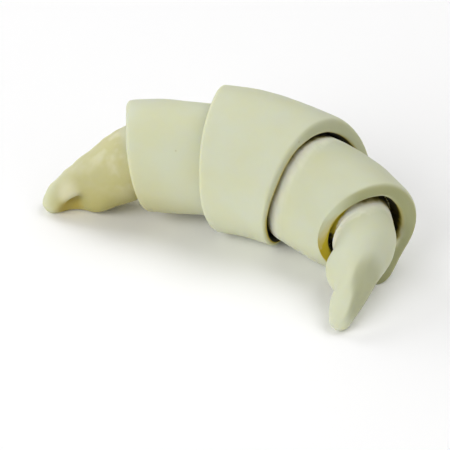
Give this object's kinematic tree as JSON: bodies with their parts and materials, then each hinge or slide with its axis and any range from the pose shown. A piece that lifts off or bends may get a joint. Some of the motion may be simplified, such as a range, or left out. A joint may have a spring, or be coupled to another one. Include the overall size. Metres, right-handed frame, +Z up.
{
  "type": "unbaked croissant",
  "caption": "Crescent of raw pastry dough: a triangle of sheet rolled up in stepped wraps, with bent tapering tips, ready to bake.",
  "frame": {"origin": "middle of the object's box in plan, on the table surface that it rests on", "axes": "+X from tip to tip, +Y to the outer side of the bend with both tips turned to -Y, +Z up"},
  "size_m": [0.1058, 0.0524, 0.0404],
  "materials": {
    "raw_dough": "soft matt raw dough"
  },
  "bodies": {
    "root": {"dough": "raw_dough"}
  },
  "joints": []
}
